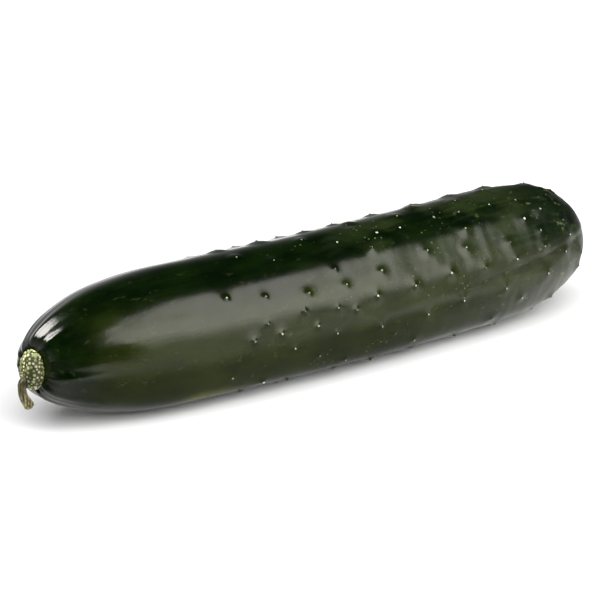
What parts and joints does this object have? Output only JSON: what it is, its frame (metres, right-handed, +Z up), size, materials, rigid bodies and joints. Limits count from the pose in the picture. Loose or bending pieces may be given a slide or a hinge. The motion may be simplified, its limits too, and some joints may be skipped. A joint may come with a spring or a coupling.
{
  "type": "cucumber",
  "caption": "Long dark green slicing cucumber lying on its side, warty towards the blossom end, with its dried stem stub.",
  "frame": {"origin": "on the floor under the middle of the box around the fruit and its stem", "axes": "+X from the stem end to the blossom end, +Y to the back, the side both ends bend towards, +Z up as the cucumber lies"},
  "size_m": [0.2504, 0.0544, 0.0507],
  "materials": {
    "skin": "glossy",
    "stem": "rough"
  },
  "bodies": {
    "root": {"fruit": "skin", "stem": "stem"}
  },
  "joints": []
}
